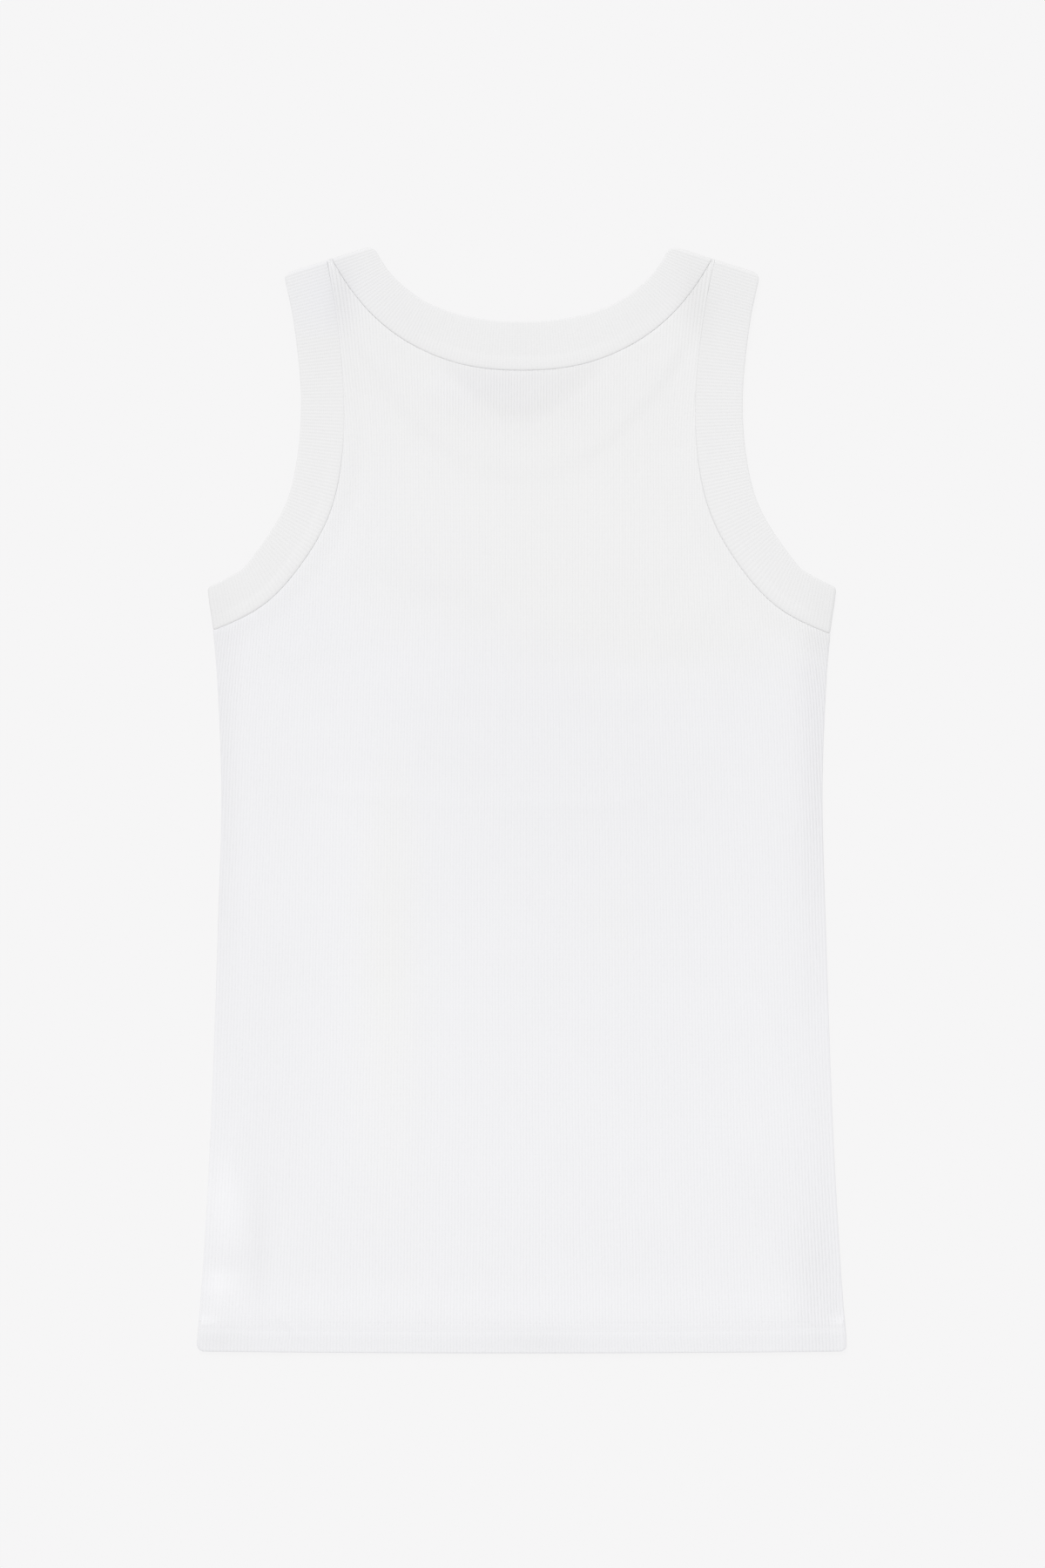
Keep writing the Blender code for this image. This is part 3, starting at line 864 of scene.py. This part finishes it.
# the doubled bands round the neck and the arms
bands = {
    "neckPitch": 1.97,  # of their ribs, which run across them
    "armPitch": 2.24,
    "depth": 0.18,
    "crown": 0.12,  # how far the middle of a band swells
    "edge": (0.0, 0.073, 0.293, 0.61, 1.0),  # how far in, and
    "edgeHeight": (1.0, 1.375, 1.707, 1.92, 2.0),  # how high, the free edge's rounding is
    "shares": (0.17, 0.36, 0.55, 0.77),
    # distance from the seam and height over the underside, where the seam allowance lies inside
    "ridge": (11.0, 9.4, 8.2, 6.8, 4.8, 2.8, 1.3, 0.6, 0.2, 0.0),
    "ridgeHeight": (0.0, -0.05, 0.14, 0.34, 0.4, 0.36, 0.26, 0.1, 0.0, 0.0),
    "deepHeight": (2.0, 1.98, 1.98, 2.0, 2.02, 2.0, 1.95, 1.8, 1.5, 1.0),
    "closedHeight": (2.0, 2.0, 2.0, 2.0, 1.99, 1.98, 1.97, 1.95, 1.92, 1.84),
    "under": (0.35, 0.22),  # how far in, and how high, the edges of the underside are rounded
    "fadeIn": (0.3, 0.35, 0.5, 0.7, 0.9),  # depth of the ribs from the free edge inwards
    "fadeOut": (0.8, 0.6, 0, 0, 0),  # and from the seam on under the band
    "foldRibs": 3,
    "neckCorners": (5.5, 5.5),  # radius of the free edge's corners at the two folds
    "armCorners": (2.6, 4.6),
}


def bandProfile(width, ridge, deep, inset):  # distances from the free edge, and heights, round one section
    far = np.maximum(width - np.array(bands["ridge"]), width * 0.62)
    shares = np.array(bands["shares"])
    crown = garment["band"] + bands["crown"] * np.sin(math.pi * shares) ** 2
    closed, sunken, raised = (np.array(bands[key]) for key in ("closedHeight", "deepHeight", "ridgeHeight"))
    ridged = closed * (1 - deep) + sunken * deep + raised * ridge
    start = np.array(bands["edge"]) + inset
    middle = start[-1] + shares * (far[0] - start[-1])
    inner, up = bands["under"]
    across = np.r_[start, middle, far, width - inner, width * 0.5, inner + inset]
    return across, np.r_[bands["edgeHeight"], crown, ridged, up, 0.0, up]


def cornerInset(radius, fromEnd):  # how far a rounded corner pulls the free edge in, this near to the fold
    left = np.clip(radius - fromEnd, 0, radius)
    return radius - np.sqrt(radius**2 - left**2)


def ribStations(count):  # shares of the way along so many ribs
    return (np.arange(count)[:, None] + phases).ravel() / count


def bandSections(halves, outward, corners, pitch, ridgeAlong, deepAlong):
    # edge point, sewn point, outward way of the fold, turn, rib count, ridge, depth of the seam, inset
    found, passed, foldRibs = [], 0, bands["foldRibs"]
    for half, (edge, sewn) in enumerate(halves):
        ribCount = max(4, round(wayAlong((edge + sewn) / 2)[-1] / pitch))
        share, long = ribStations(ribCount), wayAlong(edge)[-1]
        along = share if half == 0 else 1 - share
        a, b = (readAt(line, np.arange(len(line)), share * (len(line) - 1)) for line in (edge, sewn))
        start, end = corners[1 - half], corners[half]
        inset = np.maximum(
            cornerInset(start, share * long + foldOut), cornerInset(end, (1 - share) * long + foldOut)
        )
        ridge, deep = ridgeAlong(along) * (1 - half), deepAlong(along)
        for k, rib in enumerate(passed + share * ribCount):
            found.append((a[k], b[k], outward[0], math.pi * half, rib, ridge[k], deep[k], inset[k]))
        passed += ribCount
        deep = deepAlong(1.0 - half)
        for share in ribStations(foldRibs):  # the fold at the end of this half
            inset = cornerInset(end, foldOut * (1 - math.sin(math.pi * share)))
            turn, rib = math.pi * (half + share), passed + share * foldRibs
            found.append((edge[-1], sewn[-1], outward[half], turn, rib, 0.0, deep, inset))
        passed += foldRibs
    return found, passed


def addBinding(name, halves, outward, corners, pitch, rest, ridgeAlong, deepAlong):
    # halves: the back's free and sewn edge, running from fold to fold, then the front's, the way home
    sections, ribCount = bandSections(halves, outward, corners, pitch, ridgeAlong, deepAlong)
    loops, reliefs, uvs = [], [], []
    for a, b, out, turn, rib, ridge, deep, inset in sections:
        width = math.dist(a, b)
        across, height = bandProfile(width, ridge, deep, inset)
        way = (b - a) / width
        plan = a + across[:, None] * way
        # the section's own upward way: up on the back, out at a fold, down on the front
        lift = np.array([*out * abs(math.sin(turn)), math.cos(turn)])
        points = np.column_stack([plan, np.full(len(plan), foldOut)])
        points += (foldOut - garment["band"] + height)[:, None] * lift
        if turn == 0:
            points[:, 2] = rest(plan) + height
        loops.append(points)
        steep = unit(np.column_stack([np.gradient(height), np.gradient(across)]))
        standing = np.outer(steep[:, 0], (*way, 0)) + np.outer(steep[:, 1], lift)  # how its ribs stand out
        full = np.ones(len(across) - len(bands["fadeIn"]) - len(bands["fadeOut"]))
        reliefs.append(standing * np.r_[bands["fadeIn"], full, bands["fadeOut"]][:, None])
        uvs.append(np.column_stack([np.full(len(across), rib), across / ribs["course"]]))
    total, size = len(loops), len(loops[0])
    near = np.arange(total * size).reshape(total, size)
    far = np.roll(near, -1, axis=0)
    corner = [near, np.roll(near, -1, axis=1), np.roll(far, -1, axis=1), far]
    faces = np.stack(corner, axis=-1).reshape(-1, 4)
    points, uv = np.vstack(loops), np.vstack(uvs)
    p0, p1, p2 = points[faces[:, 0]], points[faces[:, 1]], points[faces[:, 2]]
    if np.einsum("ij,ij->i", p0, np.cross(p1, p2)).sum() < 0:  # they came out facing inwards
        faces = faces[:, ::-1]
    hidden = np.tile(np.r_[np.zeros(size - 3), 1, 1, 1], total)
    print(name, 2 * len(faces), "triangles")
    return addMesh(
        name, points, faces, uv[:, 0], np.vstack(reliefs), uv, bandLooks(points[:, :2]), hidden, ribCount
    )


# how much of the seam allowance shows on each band, and how deep its seam lies;
# an arm's share runs from the shoulder to the underarm
def neckRidge(share):
    return 0.75 * np.sin(math.pi * share) ** 2


def neckDeep(share):
    return 0.75 + 0 * share


def armRidge(share):
    return 0.8 * smooth((share - 0.3) / 0.4) * smooth((1 - share) / 0.1)


def armDeep(share):
    return 0.12 + 0.88 * smooth((share - 0.35) / 0.35) + 0.5 * (1 - smooth(share / 0.12))


def onBand(points):
    return np.full(len(points), garment["overBand"])


# sewing thread of the two rows above the hem
hemThread = {
    "pitch": 2.9,
    "length": 2.3,
    "thickness": 0.42,
    "jitter": 0.12,
    "sink": 0.12,
    "seed": 8,
    "fromSide": 2.4,  # the rows stop this far from the sides
    "dark": (0.86, 0.86, 0.875),
    "light": (0.91, 0.91, 0.92),
}


def makeStitchTree(values):  # lays a stitch at every step along a line
    tree = makeTree("hemStitches", values)
    given = tree.nodes.new("NodeGroupInput").outputs
    line = outOf(tree, "GeometryNodeMeshToCurve", Mesh=given["Geometry"])
    byLength = {"mode": "LENGTH"}
    cut = outOf(tree, "GeometryNodeResampleCurve", byLength, Curve=line, Length=given["Stitch pitch"])
    spots = addNode(tree, "GeometryNodeCurveToPoints", {"mode": "EVALUATED"}, Curve=cut).outputs
    ball = outOf(tree, "GeometryNodeMeshUVSphere", Segments=8, Rings=6, Radius=0.5)
    floating = {"data_type": "FLOAT"}
    wobble = addNode(tree, "FunctionNodeRandomValue", floating, in2=-1.0, in3=1.0, Seed=given["Seed"])
    amount = times(tree, wobble.outputs[1], given["Jitter"])
    length = times(tree, given["Stitch length"], maths(tree, "ADD", amount, 1.0))
    thick = given["Thread thickness"]
    size = outOf(tree, "ShaderNodeCombineXYZ", X=thick, Y=thick, Z=length)
    turned = outOf(tree, "FunctionNodeAlignRotationToVector", {"axis": "Z"}, Vector=spots["Tangent"])
    each = {"Points": spots["Points"], "Instance": ball, "Rotation": turned, "Scale": size}
    laid = outOf(tree, "GeometryNodeInstanceOnPoints", **each)
    plain = outOf(tree, "GeometryNodeRealizeInstances", Geometry=laid)
    return endTree(tree, outOf(tree, "GeometryNodeSetShadeSmooth", Geometry=plain), given["Thread"])


def addHemStitches(name, edge, face, up):  # the lines along which the stitches are laid
    sign = 1 if up else -1
    reach = side["half"][-1] - hemThread["fromSide"]
    x = np.linspace(-reach, reach, 420)
    outline = closedOutline(edge)
    points, edges = [], []
    for row in drape["stitchRows"]:
        line = np.column_stack([x, bottom + bowAt(x) + row])
        away = np.minimum(distance(line, outline), row)
        level = face(line, away) - sign * (stitchDip(line) + hemThread["sink"])
        edges += [(len(points) + k, len(points) + k + 1) for k in range(len(line) - 1)]
        points += np.column_stack([line, level]).tolist()
    made = bpy.data.meshes.new(name)
    made.from_pydata((np.array(points) * mm).tolist(), edges, [])
    return inScene(name, made)


# white cotton rib
clothLook = {
    "finish": {"Roughness": 0.93, "Specular IOR Level": 0.2, "Sheen Weight": 0.12, "Sheen Roughness": 0.45},
    "plain": (0.900, 0.898, 0.901),
    "cool": (0.903, 0.902, 0.920),
    "ditchShade": 0.975,
    "thinShade": 0.967,  # painted shade where nothing white lies under the single cloth
    "patchShade": 0.985,
    "rimShade": 0.98,  # where the cloth turns away at a fold or a free edge
    "rimFrom": (0.15, 0.8),
    "loopHeight": 0.000022,
    "loopSlant": 0.45,  # how far the loops climb from a crest to the ditch
    "fuzzHeight": 0.00003,
    "insideRibs": 0.00016,  # the inner faces have no ribs in their mesh
}
bandLook = {
    **clothLook,
    "plain": (0.880, 0.878, 0.881),
    "cool": (0.880, 0.880, 0.900),
    "ditchShade": 0.98,
    "rimShade": 0.9,
}


def newMaterial(name, finish):
    material = bpy.data.materials.new(name)
    material.use_nodes = True
    shader = material.node_tree.nodes["Principled BSDF"]
    for label, value in finish.items():
        shader.inputs[label].default_value = value
    return material, material.node_tree, shader


def mixed(tree, share, plain, other):  # a colour between two
    both = {"in6": (*plain, 1), "in7": (*other, 1)}
    return addNode(tree, "ShaderNodeMix", {"data_type": "RGBA"}, Factor=share, **both).outputs[2]


def clothMaterial(name, look):
    material, tree, shader = newMaterial(name, look["finish"])
    place = tree.nodes.new("ShaderNodeTexCoord").outputs
    flat = outOf(tree, "ShaderNodeUVMap", {"uv_map": "knit"})
    rib, course = addNode(tree, "ShaderNodeSeparateXYZ", Vector=flat).outputs[:2]
    ditch = ditchOf(tree, rib, 3.0)
    slant = times(tree, ditchOf(tree, rib, 1.0), look["loopSlant"])
    row = times(tree, maths(tree, "ADD", course, slant), 2 * math.pi)
    loops = times(tree, maths(tree, "SINE", row), look["loopHeight"])
    grain = {"Scale": 1900.0, "Detail": 3.0, "Roughness": 0.6}
    fuzz = times(tree, outOf(tree, "ShaderNodeTexNoise", Vector=place["Object"], **grain), look["fuzzHeight"])
    inside = addNode(tree, "ShaderNodeAttribute", {"attribute_name": "inside"}).outputs["Fac"]
    ridges = times(tree, times(tree, ditch, inside), -look["insideRibs"])
    height = maths(tree, "ADD", ridges, maths(tree, "ADD", loops, fuzz))
    bump = outOf(tree, "ShaderNodeBump", Strength=1.0, Distance=1.0, Height=height)
    tree.links.new(bump, shader.inputs["Normal"])

    seen = addNode(tree, "ShaderNodeAttribute", {"attribute_name": "looks"}).outputs["Vector"]
    thin, lightAndShade, cool = addNode(tree, "ShaderNodeSeparateXYZ", Vector=seen).outputs
    patches = outOf(tree, "ShaderNodeTexNoise", Vector=place["Object"], Scale=16.0, Detail=3.0)
    # painted light and shade lightens or darkens the colour here
    shade = maths(tree, "ADD", 1.0, lightAndShade)
    # painted shade in the rib ditches and on the single cloth, and darker noise patches
    for value, least in ((ditch, "ditchShade"), (thin, "thinShade"), (patches, "patchShade")):
        darker = times(tree, value, 1 - look[least])
        shade = times(tree, shade, maths(tree, "SUBTRACT", 1.0, darker))
    facing = addNode(tree, "ShaderNodeSeparateXYZ", Vector=place["Normal"]).outputs[2]
    reach = {"in1": look["rimFrom"][0], "in2": look["rimFrom"][1], "in3": look["rimShade"], "in4": 1.0}
    rim = outOf(tree, "ShaderNodeMapRange", Value=maths(tree, "ABSOLUTE", facing), **reach)
    shade = times(tree, shade, rim)
    color = mixed(tree, cool, look["plain"], look["cool"])
    tree.links.new(scaled(tree, color, shade), shader.inputs["Base Color"])
    return material


def threadMaterial():
    material, tree, shader = newMaterial("hemThread", {"Roughness": 0.7, "Specular IOR Level": 0.3})
    place = tree.nodes.new("ShaderNodeTexCoord").outputs["Object"]
    slanted = {"bands_direction": "DIAGONAL"}
    twist = addNode(tree, "ShaderNodeTexWave", slanted, Vector=place, Scale=900.0, Distortion=1.0)
    twist = twist.outputs["Fac"]
    color = mixed(tree, twist, hemThread["dark"], hemThread["light"])
    tree.links.new(color, shader.inputs["Base Color"])
    bump = outOf(tree, "ShaderNodeBump", Strength=0.6, Distance=0.00006, Height=twist)
    tree.links.new(bump, shader.inputs["Normal"])
    return material


bodyCloth = clothMaterial("ribBody", clothLook)
bandCloth = clothMaterial("ribBinding", bandLook)
thread = threadMaterial()
ribValues = {
    "Rib depth": ribs["depth"] * mm,
    "Ditch sharpness": 3.0,
    "Unevenness": 0.5,
    "Seed": 3.0,
    "Cloth": bodyCloth,
}
bandValues = {**ribValues, "Rib depth": bands["depth"] * mm, "Seed": 7.0, "Cloth": bandCloth}
stitchValues = {
    "Stitch pitch": hemThread["pitch"] * mm,
    "Stitch length": hemThread["length"] * mm,
    "Thread thickness": hemThread["thickness"] * mm,
    "Jitter": hemThread["jitter"],
    "Seed": hemThread["seed"],
    "Thread": thread,
}
ribTree = makeRibTree(ribValues)
stitchTree = makeStitchTree(stitchValues)

backPanel = addPanel("backPanel", backEdge, backFace, True)
frontPanel = addPanel("frontPanel", frontEdge, frontFace, False)
for panel in (backPanel, frontPanel):
    applyTree(panel, ribTree, ribValues)
print("panels ribbed")

neckBinding = addBinding(
    "neckBinding", ((acrossCentre(backEdge), backSeam), (frontOpening[::-1], frontSeam[::-1])),
    (shoulderUp * (-1, 1), shoulderUp), bands["neckCorners"], bands["neckPitch"],
    neckRest, neckRidge, neckDeep,
)
armBindings = []
for name, widths, mirror in (("leftArmBinding", leftWidth, (-1, 1)), ("rightArmBinding", rightWidth, (1, 1))):
    edge, sewn = armEdge * mirror, armSeam(widths) * mirror
    armBindings.append(addBinding(
        name, ((edge, sewn), (edge[::-1], sewn[::-1])), (sideOut * mirror, shoulderUp * mirror),
        bands["armCorners"], bands["armPitch"], onBand, armRidge, armDeep,
    ))
leftArmBinding, rightArmBinding = armBindings
for band in (neckBinding, leftArmBinding, rightArmBinding):
    applyTree(band, ribTree, bandValues)
print("bindings ribbed")

backHemStitches = addHemStitches("backHemStitches", backEdge, backFace, True)
frontHemStitches = addHemStitches("frontHemStitches", frontEdge, frontFace, False)
for lines in (backHemStitches, frontHemStitches):
    applyTree(lines, stitchTree, stitchValues)
print("hems stitched")

for piece, node, slot in (
    (backPanel, "back_panel", "rib_body"),
    (frontPanel, "front_panel", "rib_body"),
    (neckBinding, "neck_binding", "rib_binding"),
    (leftArmBinding, "left_arm_binding", "rib_binding"),
    (rightArmBinding, "right_arm_binding", "rib_binding"),
):
    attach(piece, "root")
    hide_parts(node)
for piece in (backHemStitches, frontHemStitches):
    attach(piece, "root")

# floor, light and camera
studio = {
    "floorSize": 14,  # metres
    "floorLevel": -0.0006,
    "floorGlow": 0.823,  # the floor's own light, so that the garment hardly shades it
    "floorTint": (1, 0.996, 1),
    "floorWhite": 0.1,
    "sky": 0.78,
    "keyStrength": 0.85,
    "keyFrom": (-0.25, 0.9, 1.25),
    "keySpread": 35.0,  # degrees
    "cameraLens": 100.0,
    "cameraSensor": 36.0,
    "cameraAt": (0.0004, 0.0099),
    "frameHeight": 1.0206,  # metres of floor from the bottom to the top of the picture
}
bpy.ops.mesh.primitive_plane_add(size=studio["floorSize"], location=(0, 0, studio["floorLevel"]))
floor = bpy.context.object
floor.name = "floor"
floor.data.materials.append(newMaterial("floorPaint", {
    "Base Color": (*[studio["floorWhite"]] * 3, 1),
    "Roughness": 1.0,
    "Specular IOR Level": 0.0,
    "Emission Color": (*studio["floorTint"], 1),
    "Emission Strength": studio["floorGlow"],
})[0])

scene = bpy.context.scene
world = bpy.data.worlds.new("studioSky")
world.use_nodes = True
sky = world.node_tree.nodes["Background"]
sky.inputs["Color"].default_value = (1, 1, 1, 1)
sky.inputs["Strength"].default_value = studio["sky"]
scene.world = world
scene.view_settings.view_transform = "Standard"
scene.view_settings.look = "None"

key = inScene("keyLight", bpy.data.lights.new("keyLight", "SUN"))
key.data.angle = math.radians(studio["keySpread"])
key.data.energy = studio["keyStrength"]
key.location = Vector(studio["keyFrom"]) * 2
key.rotation_euler = (-Vector(studio["keyFrom"])).to_track_quat("-Z", "Y").to_euler()

camera = inScene("camera", bpy.data.cameras.new("camera"))
camera.data.lens = studio["cameraLens"]
camera.data.sensor_width = studio["cameraSensor"]
camera.data.clip_end = 50.0
height = studio["frameHeight"] * studio["cameraLens"] / studio["cameraSensor"]
camera.location = (*studio["cameraAt"], height)
scene.camera = camera
print("studio set")
